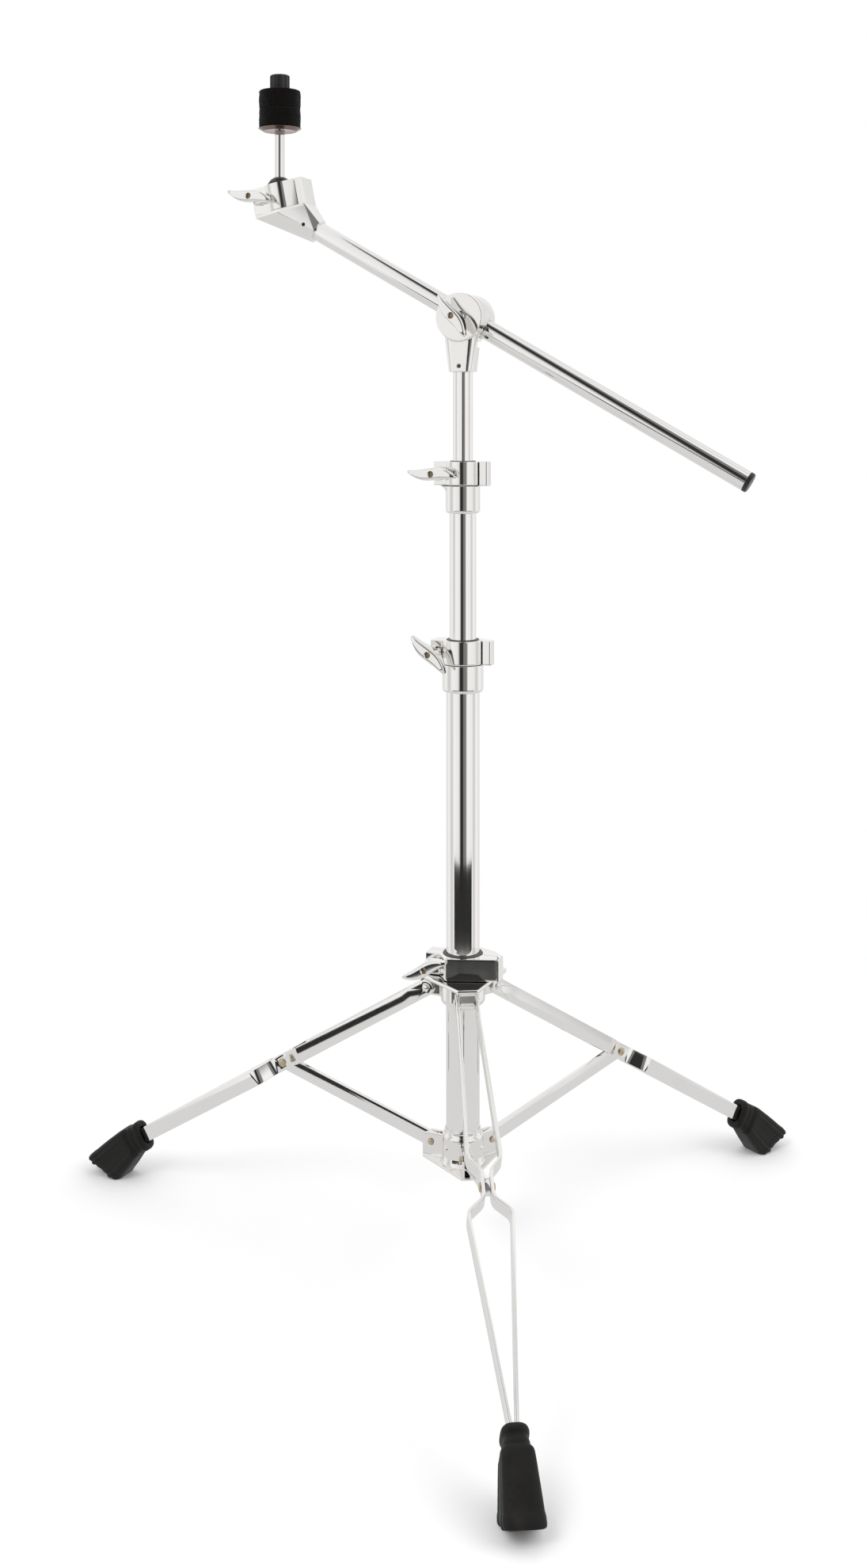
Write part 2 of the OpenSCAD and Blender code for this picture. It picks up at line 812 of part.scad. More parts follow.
// The eye bolt: a ring round the lined boom, with a threaded shank out to the wing nut.
module boom_eye_bolt() {
    shank = boom_offset - disc_front_y + gap + wing_l - bolt_recess;
    color("darkkhaki") along_boom() difference() {
        union() {
            rotate([0, 90, 0]) cylinder(r = eye_r, h = 2 * eye_half, center = true);
            facing_front() cylinder(r = bolt_r, h = shank);
        }
        rotate([0, 90, 0]) cylinder(r = liner_r + running, h = 4 * eye_half, center = true);
    }
}

module boom_wing_nut() {
    in_column() clamp_wing_nut(0, hinge_z, -disc_front_y, -57);
}

module boom_liner() {
    color("whitesmoke") along_boom() rotate([0, 90, 0])
        pipe(liner_r, upper_r + running, -disc_r + 1, disc_r - 1);
}

module boom_tube() {
    color("gainsboro") along_boom() difference() {
        rotate([0, 90, 0]) pipe(upper_r, upper_r - tube_wall, boom_end_x, boom_tail_l);
        translate([head_pin_x, 0, 0]) cross_rod(roll_pin_r + snug, 20);
    }
}

module boom_end_cap() {
    color("black") along_boom() rotate([0, 90, 0]) {
        translate([0, 0, boom_tail_l + snug]) cylinder(r = upper_r, h = 3);
        translate([0, 0, boom_tail_l + 3]) cylinder(r1 = upper_r, r2 = upper_r - 1, h = 1);
        translate([0, 0, boom_tail_l - 14])
            cylinder(r = upper_r - tube_wall - snug, h = 14.5);
    }
}

// ---- Tilter head ----

// The elbow: the clamp's floor joined to an eight-sided mouth that takes the boom.
module elbow() {
    hull() {
        translate([ball_x, 0, ball_z]) rotate([0, -head_angle, 0])
            translate([0, 0, block_bottom - block_floor])
                linear_extrude(height = block_floor + floor_inset) offset(delta = -floor_inset)
                    head_block_plan();
        translate([-boom_nose_l, 0, 0]) rotate([0, -90, 0]) cylinder(r = mouth_r, h = 3, $fn = 8);
    }
}

// Plan of the ball clamp: a flat ear on -X, a round bulge about the ball and a lug on +X.
module head_block_plan() {
    translate([block_left, -block_half]) square([-block_left, 2 * block_half]);
    translate([bulge_x, 0]) circle(r = bulge_r);
    polygon([[8, -15.2], [block_right - 1.5, -13.6], [block_right, -12], [block_right, 12],
        [block_right - 1.5, 13.6], [8, 15.2]]);
}

module ball_cavity() {
    sphere(r = ball_r + running + seat_wall + running, $fn = 96);
}

module tilter_head() {
    color("silver") difference() {
        union() {
            in_head() translate([0, 0, block_bottom])
                linear_extrude(height = block_top - block_bottom) difference() {
                    head_block_plan();
                    jaw_share(tilter_seam_x, -4, seam);
                }
            along_boom() elbow();
        }
        in_head() {
            ball_cavity();
            cylinder(r = ball_r - 1, h = 30);
            bolt_hole(tilter_bolt_x, tilter_bolt_z);
        }
        along_boom() {
            translate([-boom_nose_l + 1, 0, 0]) rotate([0, -90, 0])
                cylinder(r = upper_r + snug, h = 26 + snug);
            translate([head_pin_x, 0, 0]) cross_rod(roll_pin_r + snug, 20);
        }
    }
}

module tilter_jaw() {
    color("silver") in_head() difference() {
        translate([0, 0, block_bottom + seam])
            linear_extrude(height = block_top - block_bottom - seam) intersection() {
                head_block_plan();
                jaw_share(tilter_seam_x, -4, 0);
            }
        ball_cavity();
        cylinder(r = ball_r - 1, h = 30);
        bolt_hole(tilter_bolt_x, tilter_bolt_z);
    }
}

module head_roll_pin() {
    color("dimgray") along_boom() translate([head_pin_x, 0, 0])
        cross_rod(roll_pin_r, mouth_r - 1);
}

module tilter_bolt() {
    in_head() clamp_bolt(tilter_bolt_x, tilter_bolt_z,
        -block_half - gap - wing_l + bolt_recess, block_half);
}

module tilter_wing_nut() {
    in_head() clamp_wing_nut(tilter_bolt_x, tilter_bolt_z, block_half, -25);
}

// The split spherical seat that lines the clamp round the ball.
module ball_seat() {
    color("dimgray") in_head() difference() {
        sphere(r = ball_r + running + seat_wall, $fn = 96);
        sphere(r = ball_r + running, $fn = 96);
        translate([-20, -20, 2.5]) cube([40, 40, 40]);
        translate([-20, -20, -40 - 7]) cube([40, 40, 40]);
    }
}

// ---- Cymbal seat ----

module tilter_ball() {
    color("dimgray") on_ball() difference() {
        sphere(r = ball_r, $fn = 96);
        translate([0, 0, -ball_r + 4]) cylinder(r = rod_d / 2 + snug, h = 40);
    }
}

module cymbal_rod() {
    color("gainsboro") on_ball() {
        translate([0, 0, -ball_r + 4.1]) cylinder(r = rod_d / 2, h = thread_z + ball_r - 4.1);
        translate([0, 0, thread_z]) cylinder(r = thread_r, h = rod_top - thread_z);
    }
}

// A cupped washer under the felts.
module seat_washer() {
    color("silver") on_ball() translate([0, 0, washer_z]) rotate_extrude()
        polygon([[rod_d / 2 + snug, 0], [washer_r - 5, 0], [washer_r, washer_lip],
            [washer_r - 1.6, washer_lip], [washer_r - 5.6, washer_t], [rod_d / 2 + snug, washer_t]]);
}

module cymbal_sleeve() {
    flange_r = sleeve_r + 3;
    color("black") on_ball() difference() {
        union() {
            translate([0, 0, washer_z + washer_t + snug]) cylinder(r = flange_r, h = 1.2);
            translate([0, 0, washer_z + washer_t + snug])
                cylinder(r = sleeve_r, h = cap_z - washer_z - washer_t - 3);
        }
        translate([0, 0, washer_z]) cylinder(r = rod_d / 2 + snug, h = thread_z - washer_z + gap);
        translate([0, 0, washer_z]) cylinder(r = thread_r + snug, h = 100);
    }
}

module felt(z) {
    color("black") on_ball() pipe(felt_d / 2, sleeve_r + running, z, z + felt_h);
}

module lower_felt() {
    felt(felt_z + 0.2);
}

module upper_felt() {
    felt(felt_z + felt_h + 0.4);
}

module cap_nut() {
    flute_r = 1.1;
    flutes = 12;
    color("black") on_ball() translate([0, 0, cap_z + 0.4]) difference() {
        union() {
            cylinder(r = cap_r, h = cap_h - 1);
            translate([0, 0, cap_h - 1]) cylinder(r1 = cap_r, r2 = cap_r - 1, h = 1);
        }
        translate([0, 0, -1]) cylinder(r = thread_r + running, h = cap_bore_h + 1);
        for (i = [0 : flutes - 1])
            rotate([0, 0, i * 360 / flutes]) translate([cap_r + 0.3, 0, -1])
                cylinder(r = flute_r, h = cap_h + 2, $fn = 24);
    }
}

base_tube();
lower_hub();
strut_pivot_pins();
base_clamp();
base_clamp_jaw();
base_clamp_bush();
base_clamp_bolt();
base_wing_nut();
leg_collar();
leg_collar_jaw();
leg_collar_bush();
leg_hinge_pins();
leg_collar_bolt();
collar_wing_nut();
front_leg_left_bar();
front_leg_right_bar();
front_leg_rivets();
front_foot();
front_strut();
right_leg_left_bar();
right_leg_right_bar();
right_leg_rivets();
right_foot();
right_strut();
left_leg_left_bar();
left_leg_right_bar();
left_leg_rivets();
left_foot();
left_strut();
middle_glide();
middle_tube();
middle_clamp();
middle_clamp_jaw();
middle_clamp_bush();
middle_clamp_bolt();
middle_wing_nut();
upper_glide();
upper_tube();
hinge_neck();
neck_roll_pin();
hinge_drum();
boom_eye_bolt();
boom_wing_nut();
boom_liner();
boom_tube();
boom_end_cap();
tilter_head();
tilter_jaw();
head_roll_pin();
tilter_bolt();
tilter_wing_nut();
ball_seat();
tilter_ball();
cymbal_rod();
seat_washer();
cymbal_sleeve();
lower_felt();
upper_felt();
cap_nut();
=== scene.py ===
"""Looks for the cymbal boom stand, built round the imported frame."""
import json
import math
import random

import bmesh
import bpy
from mathutils import Matrix, Vector, noise


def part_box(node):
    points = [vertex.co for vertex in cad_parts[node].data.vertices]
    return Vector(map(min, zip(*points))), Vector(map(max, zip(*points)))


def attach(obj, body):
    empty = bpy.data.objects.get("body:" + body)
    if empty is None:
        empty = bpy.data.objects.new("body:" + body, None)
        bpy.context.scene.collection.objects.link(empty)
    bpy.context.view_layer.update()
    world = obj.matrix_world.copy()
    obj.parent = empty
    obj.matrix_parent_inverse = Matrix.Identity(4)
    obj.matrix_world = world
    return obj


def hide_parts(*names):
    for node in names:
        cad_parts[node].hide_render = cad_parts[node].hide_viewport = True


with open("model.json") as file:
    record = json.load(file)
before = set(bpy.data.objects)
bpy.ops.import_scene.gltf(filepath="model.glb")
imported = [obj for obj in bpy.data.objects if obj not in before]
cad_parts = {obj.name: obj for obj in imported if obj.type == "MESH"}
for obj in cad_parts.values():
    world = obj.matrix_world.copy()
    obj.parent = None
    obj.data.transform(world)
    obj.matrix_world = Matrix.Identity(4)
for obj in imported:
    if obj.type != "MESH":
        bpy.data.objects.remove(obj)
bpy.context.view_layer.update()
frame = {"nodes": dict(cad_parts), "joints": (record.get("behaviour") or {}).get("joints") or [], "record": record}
nodes = frame["nodes"]
joints = {j["name"]: j for j in frame["joints"]}
MM = 0.001


# ---------------------------------------------------------------- node helpers

class Shader:
    """A small helper that adds and links shader nodes."""

    def __init__(self, tree):
        self.tree = tree
        tree.nodes.clear()

    def add(self, kind, inputs=None, **props):
        node = self.tree.nodes.new(kind)
        for key, value in props.items():
            setattr(node, key, value)
        for key, value in (inputs or {}).items():
            socket = node.inputs[key]
            if isinstance(value, bpy.types.NodeSocket):
                self.tree.links.new(value, socket)
            else:
                socket.default_value = value
        return node

    def math(self, operation, a, b=0.0, clamp=False):
        node = self.add("ShaderNodeMath", {0: a, 1: b}, operation=operation, use_clamp=clamp)
        return node.outputs[0]

    def ramp(self, value, stops):
        """A colour ramp through (position, grey or colour) stops."""
        node = self.add("ShaderNodeValToRGB", {"Fac": value})
        elements = node.color_ramp.elements
        while len(elements) < len(stops):
            elements.new(1.0)
        for element, (position, colour) in zip(elements, stops):
            element.position = position
            element.color = grey(colour) if isinstance(colour, (int, float)) else (*colour, 1)
        return node.outputs["Color"]

    def noise(self, scale, detail=3.0, rough=0.5, vector=None, stretch=None):
        coords = vector or self.add("ShaderNodeTexCoord").outputs["Object"]
        if stretch:
            mapping = self.add("ShaderNodeMapping", {"Vector": coords, "Scale": stretch})
            coords = mapping.outputs["Vector"]
        node = self.add("ShaderNodeTexNoise", {
            "Vector": coords, "Scale": scale, "Detail": detail, "Roughness": rough})
        return node.outputs["Fac"]

    def bump(self, height, strength, distance, normal=None):
        inputs = {"Height": height, "Strength": strength, "Distance": distance}
        if normal is not None:
            inputs["Normal"] = normal
        return self.add("ShaderNodeBump", inputs).outputs["Normal"]


def grey(value):
    return (value, value, value, 1.0)


def new_material(name, build):
    material = bpy.data.materials.new(name)
    material.use_nodes = True
    shader = Shader(material.node_tree)
    surface = build(shader)
    shader.add("ShaderNodeOutputMaterial", {"Surface": surface})
    return material


def principled(shader, **inputs):
    named = {key.replace("_", " "): value for key, value in inputs.items()}
    return shader.add("ShaderNodeBsdfPrincipled", named).outputs["BSDF"]


# ---------------------------------------------------------------- materials

def chrome(tint, waviness, base_roughness):
    """Bright plate: faint waviness, hairline wipe marks and slightly cloudy patches."""

    def build(shader):
        cloud = shader.noise(18.0, 4.0, 0.6)
        wipe = shader.noise(260.0, 2.0, 0.5, stretch=(1.0, 1.0, 0.06))
        patch = shader.math("MULTIPLY", cloud, 0.035)
        marks = shader.math("MULTIPLY", wipe, 0.03)
        rough = shader.math("ADD", shader.math("ADD", patch, marks), base_roughness)
        colour = shader.ramp(cloud, [(0.25, [c * 0.96 for c in tint]), (0.75, tint)])
        wave = shader.noise(34.0, 2.0, 0.4)
        normal = shader.bump(wave, waviness, 0.002)
        normal = shader.bump(wipe, 0.012, 0.0004, normal)
        return principled(shader, Base_Color=colour, Metallic=1.0, Roughness=rough, Normal=normal)

    return build


def passivated(low, middle, high):
    """Passivated steel with a faint iridescent drift and tarnish in its low spots."""

    def build(shader):
        drift = shader.noise(420.0, 3.0, 0.6)
        colour = shader.ramp(drift, [(0.3, low), (0.5, middle), (0.7, high)])
        fine = shader.noise(1900.0, 3.0, 0.6)
        rough = shader.math("ADD", shader.math("MULTIPLY", fine, 0.25), 0.18)
        normal = shader.bump(fine, 0.25, 0.0003)
        return principled(shader, Base_Color=colour, Metallic=1.0, Roughness=rough,
                          Normal=normal)

    return build


def dark_steel(shader):
    """Blackened steel, worn a little lighter in patches."""
    wear = shader.noise(300.0, 5.0, 0.65)
    colour = shader.ramp(wear, [(0.35, 0.03), (0.75, 0.14)])
    rough = shader.math("ADD", shader.math("MULTIPLY", wear, 0.3), 0.25)
    normal = shader.bump(wear, 0.2, 0.0004)
    return principled(shader, Base_Color=colour, Metallic=0.8, Roughness=rough, Normal=normal)


def rubber(shader):
    """Moulded black rubber: fine grain, dusty high spots."""
    grain = shader.noise(1500.0, 4.0, 0.6)
    dust = shader.noise(70.0, 5.0, 0.65)
    colour = shader.ramp(dust, [(0.35, (0.0045, 0.004, 0.0036)), (0.6, (0.009, 0.008, 0.007)),
                                (0.85, (0.02, 0.018, 0.016))])
    rough = shader.math("ADD", shader.math("MULTIPLY", dust, 0.25), 0.42)
    normal = shader.bump(grain, 0.35, 0.0003)
    return principled(shader, Base_Color=colour, Roughness=rough, Normal=normal,
                      Specular_IOR_Level=0.3)


def felt_wool(shader):
    """Pressed wool: matted fibres in two scales with a soft sheen."""
    mat = shader.noise(620.0, 6.0, 0.75)
    clump = shader.noise(150.0, 4.0, 0.7)
    mix = shader.math("ADD", shader.math("MULTIPLY", mat, 0.6), shader.math("MULTIPLY", clump, 0.4))
    colour = shader.ramp(mix, [(0.35, (0.0012, 0.0010, 0.0009)), (0.62, (0.006, 0.005, 0.0045)),
                               (0.8, (0.02, 0.017, 0.015))])
    normal = shader.bump(mix, 0.9, 0.0012)
    return principled(shader, Base_Color=colour, Roughness=0.95, Normal=normal,
                      Sheen_Weight=0.08, Sheen_Roughness=0.5, Specular_IOR_Level=0.06)


def plastic(dark, light, rough):
    """Satin moulded plastic with a fine spark-eroded grain."""

    def build(shader):
        tone = shader.noise(90.0, 3.0, 0.5)
        colour = shader.ramp(tone, [(0.3, dark), (0.7, light)])
        grain = shader.noise(2300.0, 3.0, 0.6)
        roughness = shader.math("ADD", shader.math("MULTIPLY", tone, 0.12), rough)
        normal = shader.bump(grain, 0.18, 0.0002)
        return principled(shader, Base_Color=colour, Roughness=roughness, Normal=normal)

    return build


materials = {
    "chromed_steel": new_material("chromed_steel", chrome((0.93, 0.918, 0.9), 0.008, 0.03)),
    "chromed_casting": new_material("chromed_casting", chrome((0.92, 0.906, 0.885), 0.03, 0.045)),
    "passivated_steel": new_material("passivated_steel", passivated(
        (0.4, 0.29, 0.17), (0.64, 0.54, 0.36), (0.68, 0.57, 0.5))),
    "dark_steel": new_material("dark_steel", dark_steel),
    "black_rubber": new_material("black_rubber", rubber),
    "black_felt": new_material("black_felt", felt_wool),
    "black_plastic": new_material("black_plastic", plastic(0.006, 0.014, 0.3)),
    "dark_nylon": new_material("dark_nylon", plastic(0.03, 0.06, 0.35)),
    "white_nylon": new_material("white_nylon", plastic(0.7, 0.8, 0.35)),
}
# Bolts get a darker brown passivated colour: painted shade for their ends, which sit deep in the wing-nut holes.
shaded_bolts = new_material("bolts_painted_shade", passivated((0.1, 0.06, 0.035), (0.3, 0.22, 0.12),
                                                  (0.36, 0.28, 0.2)))
# Dark brownish tint on the seat washer's chrome: painted reflection of the black felt above it.
washer_reflection = new_material("washer_painted_reflection", chrome((0.24, 0.17, 0.15), 0.02, 0.2))
node_slot = {s["node"]: s["material_slot"] for s in frame["record"]["subparts"]}


def paint(obj, material):
    obj.data.materials.clear()
    obj.data.materials.append(material)


for name, obj in nodes.items():
    paint(obj, materials[node_slot[name]])
    # Bolts take the darker colour that carries the painted shade.
    if name.endswith("_bolt"):
        paint(obj, shaded_bolts)
# The seat washer takes the dark tint that carries the painted reflection.
paint(nodes["seat_washer"], washer_reflection)


# ---------------------------------------------------------------- rounding of the CAD parts

def crease_group(degrees):
    """Geometry nodes that shade smooth across shallow edges and sharp across the rest."""
    group = bpy.data.node_groups.new("crease", "GeometryNodeTree")
    for direction in ("INPUT", "OUTPUT"):
        group.interface.new_socket("Geometry", in_out=direction,
                                   socket_type="NodeSocketGeometry")
    start = group.nodes.new("NodeGroupInput")
    end = group.nodes.new("NodeGroupOutput")
    angle = group.nodes.new("GeometryNodeInputMeshEdgeAngle")
    shallow = group.nodes.new("ShaderNodeMath")
    shallow.operation = "LESS_THAN"
    shallow.inputs[1].default_value = math.radians(degrees)
    shade = group.nodes.new("GeometryNodeSetShadeSmooth")
    shade.domain = "EDGE"
    group.links.new(start.outputs[0], shade.inputs["Geometry"])
    group.links.new(angle.outputs["Unsigned Angle"], shallow.inputs[0])
    group.links.new(shallow.outputs[0], shade.inputs["Shade Smooth"])
    group.links.new(shade.outputs[0], end.inputs[0])
    return group


curved = crease_group(20)
planar = crease_group(7)


def round_cast(name, voxel, rounds):
    """Turns a casting's sharp edges into soft ones, with modifiers only."""
    obj = nodes[name]
    obj.modifiers.new("weld", "WELD").merge_threshold = 1e-6
    skin = obj.modifiers.new("skin", "REMESH")
    skin.mode = "VOXEL"
    skin.voxel_size = voxel * MM
    skin.use_smooth_shade = True
    soften = obj.modifiers.new("soften", "SMOOTH")
    soften.factor = 0.5
    soften.iterations = rounds


def round_edges(name, width, crease=curved):
    """Breaks a CAD part's sharp edges, with modifiers only."""
    obj = nodes[name]
    for polygon in obj.data.polygons:
        polygon.use_smooth = True
    obj.modifiers.new("weld", "WELD").merge_threshold = 1e-6
    bevel = obj.modifiers.new("round", "BEVEL")
    bevel.width = width * MM
    bevel.segments = 4
    bevel.limit_method = "ANGLE"
    bevel.angle_limit = math.radians(35)
    obj.modifiers.new("crease", "NODES").node_group = crease


# Voxel size in mm and smoothing rounds.
CASTINGS = {
    "leg_collar": (0.55, 10), "leg_collar_jaw": (0.4, 12),
    "base_clamp": (0.45, 12), "base_clamp_jaw": (0.38, 12),
    "middle_clamp": (0.45, 12), "middle_clamp_jaw": (0.38, 12),
    "lower_hub": (0.42, 5), "hinge_neck": (0.32, 18),
}
for name in nodes:
    if name in CASTINGS:
        round_cast(name, *CASTINGS[name])
    elif name.endswith("_strut") or name.endswith("_bar"):
        round_edges(name, 0.7)
    elif name == "tilter_head":
        round_edges(name, 0.4, planar)
    else:
        round_edges(name, 0.3)


# ---------------------------------------------------------------- mesh building

def add_ring(bm, points):
    return [bm.verts.new(p) for p in points]


def bridge(bm, one, two):
    """Faces between two closed rings of the same length."""
    count = len(one)
    for i in range(count):
        j = (i + 1) % count
        bm.faces.new((one[i], one[j], two[j], two[i]))


def loft(bm, rings):
    """Joins rings of points into a closed skin with a fan on each end."""
    built = [add_ring(bm, ring) for ring in rings]
    for one, two in zip(built, built[1:]):
        bridge(bm, one, two)
    for ring, flip in ((built[0], True), (built[-1], False)):
        middle = bm.verts.new(sum((v.co for v in ring), Vector()) / len(ring))
        for i in range(len(ring)):
            j = (i + 1) % len(ring)
            bm.faces.new((ring[j], ring[i], middle) if flip else (ring[i], ring[j], middle))


def superellipse(half_a, half_b, power, count):
    """Points round a rounded box, as (a, b, angle)."""
    points = []
    for i in range(count):
        t = 2 * math.pi * i / count
        c, s = math.cos(t), math.sin(t)
        a = half_a * math.copysign(abs(c) ** (2 / power), c)
        b = half_b * math.copysign(abs(s) ** (2 / power), s)
        points.append((a, b, t))
    return points


def finished_mesh(name, bm, voxel=None, rounds=0, hole=None):
    """A mesh in metres from a bmesh in millimetres, skinned over, softened and drilled."""
    bmesh.ops.recalc_face_normals(bm, faces=bm.faces)
    mesh = bpy.data.meshes.new(name)
    bm.to_mesh(mesh)
    bm.free()
    mesh.transform(Matrix.Scale(MM, 4))
    if voxel:
        work = bpy.data.objects.new(name + "_work", mesh)
        bpy.context.scene.collection.objects.link(work)
        skin = work.modifiers.new("skin", "REMESH")
        skin.mode = "VOXEL"
        skin.voxel_size = voxel * MM
        soften = work.modifiers.new("soften", "SMOOTH")
        soften.factor = 0.5
        soften.iterations = rounds
        cutter = None
        if hole:
            cut_bm = bmesh.new()
            bmesh.ops.create_cone(cut_bm, cap_ends=True, segments=48, radius1=hole * MM,
                                  radius2=hole * MM, depth=0.2)
            cut_mesh = bpy.data.meshes.new(name + "_cut")
            cut_bm.to_mesh(cut_mesh)
            cut_bm.free()
            cutter = bpy.data.objects.new(name + "_cut", cut_mesh)
            bpy.context.scene.collection.objects.link(cutter)
            drill = work.modifiers.new("drill", "BOOLEAN")
            drill.operation = "DIFFERENCE"
            drill.object = cutter
        bpy.context.view_layer.update()
        graph = bpy.context.evaluated_depsgraph_get()
        mesh = bpy.data.meshes.new_from_object(work.evaluated_get(graph))
        mesh.name = name
        bpy.data.objects.remove(work)
        if cutter:
            bpy.data.objects.remove(cutter)
    for polygon in mesh.polygons:
        polygon.use_smooth = True
    return mesh


def piece(name, mesh, matrix, body, replaced, slot):
    """Puts a piece in place, on its body, instead of a CAD node."""
    obj = bpy.data.objects.new(name, mesh)
    bpy.context.scene.collection.objects.link(obj)
    obj.matrix_world = matrix
    if not mesh.materials:
        mesh.materials.append(materials[slot])
    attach(obj, body)
    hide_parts(replaced)
    return obj


# ---------------------------------------------------------------- wing nuts

BLADE_HALF = 23.5
BLADE_TOP = 22.6
BLADE_STEPS = 46
TIP_START = 0.955
NUT_SEGMENTS = 48
BOLT_HOLE = 3.06
# Radius and height.
HUB_PROFILE = [
    (6.6, 0.0), (6.6, 2.0), (6.2, 3.4), (5.6, 6.0), (5.25, 9.0), (5.2, 14.0),
    (5.3, 19.0), (5.2, 21.0), (4.8, 22.0),
]


def wing_mesh():
    """A cast wing nut in mm: seat at z = 0, blade along X, front face towards +Z."""
    bm = bmesh.new()
    rings = []
    for i in range(BLADE_STEPS + 1):
        u = -1 + 2 * i / BLADE_STEPS
        x = BLADE_HALF * math.sin(u * math.pi / 2)
        t = abs(x) / BLADE_HALF
        width = 1.2 + 4.85 * (1 - t ** 1.9) ** 1.15
        tip = max(t - TIP_START, 0) / (1 - TIP_START)
        width *= math.sqrt(max(1 - tip ** 2, 0.03))
        low = 4.0 + 12.2 * t ** 0.9
        top = BLADE_TOP - 1.1 * max(t - 0.8, 0) / 0.2
        middle = (top + low) / 2
        swing = 1.5 * math.sin(math.pi * x / BLADE_HALF)
        rings.append([Vector((x, swing + a, middle + b))
                      for a, b, _ in superellipse(width, (top - low) / 2, 5.5, NUT_SEGMENTS)])
    loft(bm, rings)
    turns = [2 * math.pi * k / NUT_SEGMENTS for k in range(NUT_SEGMENTS)]
    loft(bm, [[Vector((r * math.cos(a), r * math.sin(a), z)) for a in turns]
              for r, z in HUB_PROFILE])
    return finished_mesh("wing_nut", bm, 0.42, 4, BOLT_HOLE)


def nut_place(node, joint):
    """Where a wing nut stands: its seat, its bolt's axis, and its blade's direction."""
    axis = Vector(joints[joint]["axis"])
    point = Vector(joints[joint]["pos_m"])
    offsets = [v.co - point for v in nodes[node].data.vertices]
    seat = min(o.dot(axis) for o in offsets)
    flat = [o - axis * o.dot(axis) for o in offsets]
    along = max(flat, key=lambda o: o.length).normalized()
    if along.dot(Vector((0, 0, 1))) < 0:
        along.negate()
    across = axis.cross(along)
    matrix = Matrix((along, across, axis)).transposed().to_4x4()
    matrix.translation = point + axis * seat
    return matrix


wing = wing_mesh()
for body in ("base_wing", "collar_wing", "middle_wing", "boom_wing", "tilter_wing"):
    node = body + "_nut"
    piece(body + "_casting", wing, nut_place(node, body + "_turn"), body, node,
          "chromed_casting")


# ---------------------------------------------------------------- rubber feet

LEG_PIN = Vector((34.0, 0.0, 247.5))
LEG_SLOPE = math.radians(31.7)
FOOT_START = 383.0
FLOOR_CLEARANCE = 0.25
RIBS = 5.4
NECK_END = 14
SCALLOP_START = 50
SCALLOP_DEPTH = 1.1
FOOT_SEGMENTS = 176
# Distance from the mouth, half width, half depth, drop, tilt and rib depth.
FOOT_SECTIONS = [
    (5.0, 4.4, 8.4, 0, 0, 0), (0.6, 4.6, 8.6, 0, 0, 0), (-0.4, 5.1, 9.1, 0, 0, 0),
    (-1.0, 6.6, 10.8, 0, 0, 0), (-0.6, 8.6, 13.0, 0, 0, 0), (0.9, 10.3, 14.6, 0, 0, 0),
    (3.0, 11.0, 15.3, 0, 0, 0), (4.8, 10.7, 15.0, 0, 0, 0), (6.0, 9.9, 14.2, 0, 0, 0),
    (6.9, 9.4, 13.4, 0, 0, 0), (8.2, 9.4, 13.3, 0, 0, 0), (9.3, 10.1, 13.9, 0, 1, 0),
    (11.0, 10.6, 14.4, 0.1, 1, 0), (12.6, 10.6, 14.4, 0.1, 2, 0), (13.6, 10.3, 14.1, 0.2, 2, 0),
    (14.6, 10.9, 14.5, 0.3, 3, 0), (15.8, 12.3, 15.2, 0.4, 4, 0.1), (17.5, 13.0, 15.7, 0.6, 5, 0.3),
    (21.0, 13.4, 16.2, 1.3, 7, 0.6), (28.0, 14.0, 17.1, 3.0, 12, 0.9),
    (36.0, 14.7, 18.2, 4.9, 17, 1.1), (42.0, 15.2, 18.9, 6.3, 21, 1.2),
    (48.0, 15.7, 19.7, 7.7, 26, 1.2), (50.0, 15.8, 20.0, 8.1, 27, 1.2),
    (51.2, 16.3, 20.4, 8.4, 28, 1.3), (53.5, 16.6, 20.7, 8.9, 29.5, 1.5),
    (56.0, 16.7, 20.8, 9.4, 31, 1.7), (57.8, 16.4, 20.4, 9.7, 32, 1.7),
    (58.9, 15.4, 19.4, 9.9, 32, 1.5), (59.3, 13.4, 17.4, 9.9, 32, 1.2),
]


def foot_mesh():
    """A rubber foot in mm, in the plane of its leg: X out from the column and Z up."""
    turn = Matrix.Rotation(LEG_SLOPE, 3, "Y")
    bm = bmesh.new()
    rings = []
    for s, half_w, half_d, drop, tilt, rib in FOOT_SECTIONS:
        lean = Matrix.Rotation(math.radians(tilt), 3, "Y")
        ring = []
        power = 3.2 if s < NECK_END else 5.5
        for a, b, _ in superellipse(half_w, half_d, power, FOOT_SEGMENTS):
            side = min(max((abs(a) / half_w - 0.93) / 0.06, 0), 1)
            edge = max(0.0, 1 - (abs(b) / half_d) ** 8)
            groove = 0.5 - 0.5 * math.cos(2 * math.pi * (b / half_d * RIBS / 2 + 0.5))
            a -= math.copysign(rib * side * edge * groove, a)
            local = Vector((0.0, a, b))
            if s > SCALLOP_START and side > 0:
                local.x += SCALLOP_DEPTH * (0.5 - groove) * min((s - SCALLOP_START) / 8, 1)
            point = turn @ (Vector((FOOT_START + s, 0, -drop)) + lean @ local)
            ring.append(point + LEG_PIN)
        rings.append(ring)
    loft(bm, rings)
    for vert in bm.verts:
        vert.co.z = max(vert.co.z, FLOOR_CLEARANCE)
    return finished_mesh("foot", bm, 0.5, 3)


foot = foot_mesh()
for side, azimuth in (("front", -90), ("right", 30), ("left", 150)):
    piece(side + "_foot_rubber", foot, Matrix.Rotation(math.radians(azimuth), 4, "Z"),
          side + "_leg", side + "_foot", "black_rubber")


# ---------------------------------------------------------------- felts

FELT_BORE = 6.3
FELT_EDGE = 1.1
FELT_SEGMENTS = 200
EDGE_STEPS = 6
WALL_STEPS = 20
SEAM_OVERLAP = 0.15
STRANDS = 1700
TUFT_STRANDS = 46
TUFT_TURN = math.radians(-178)


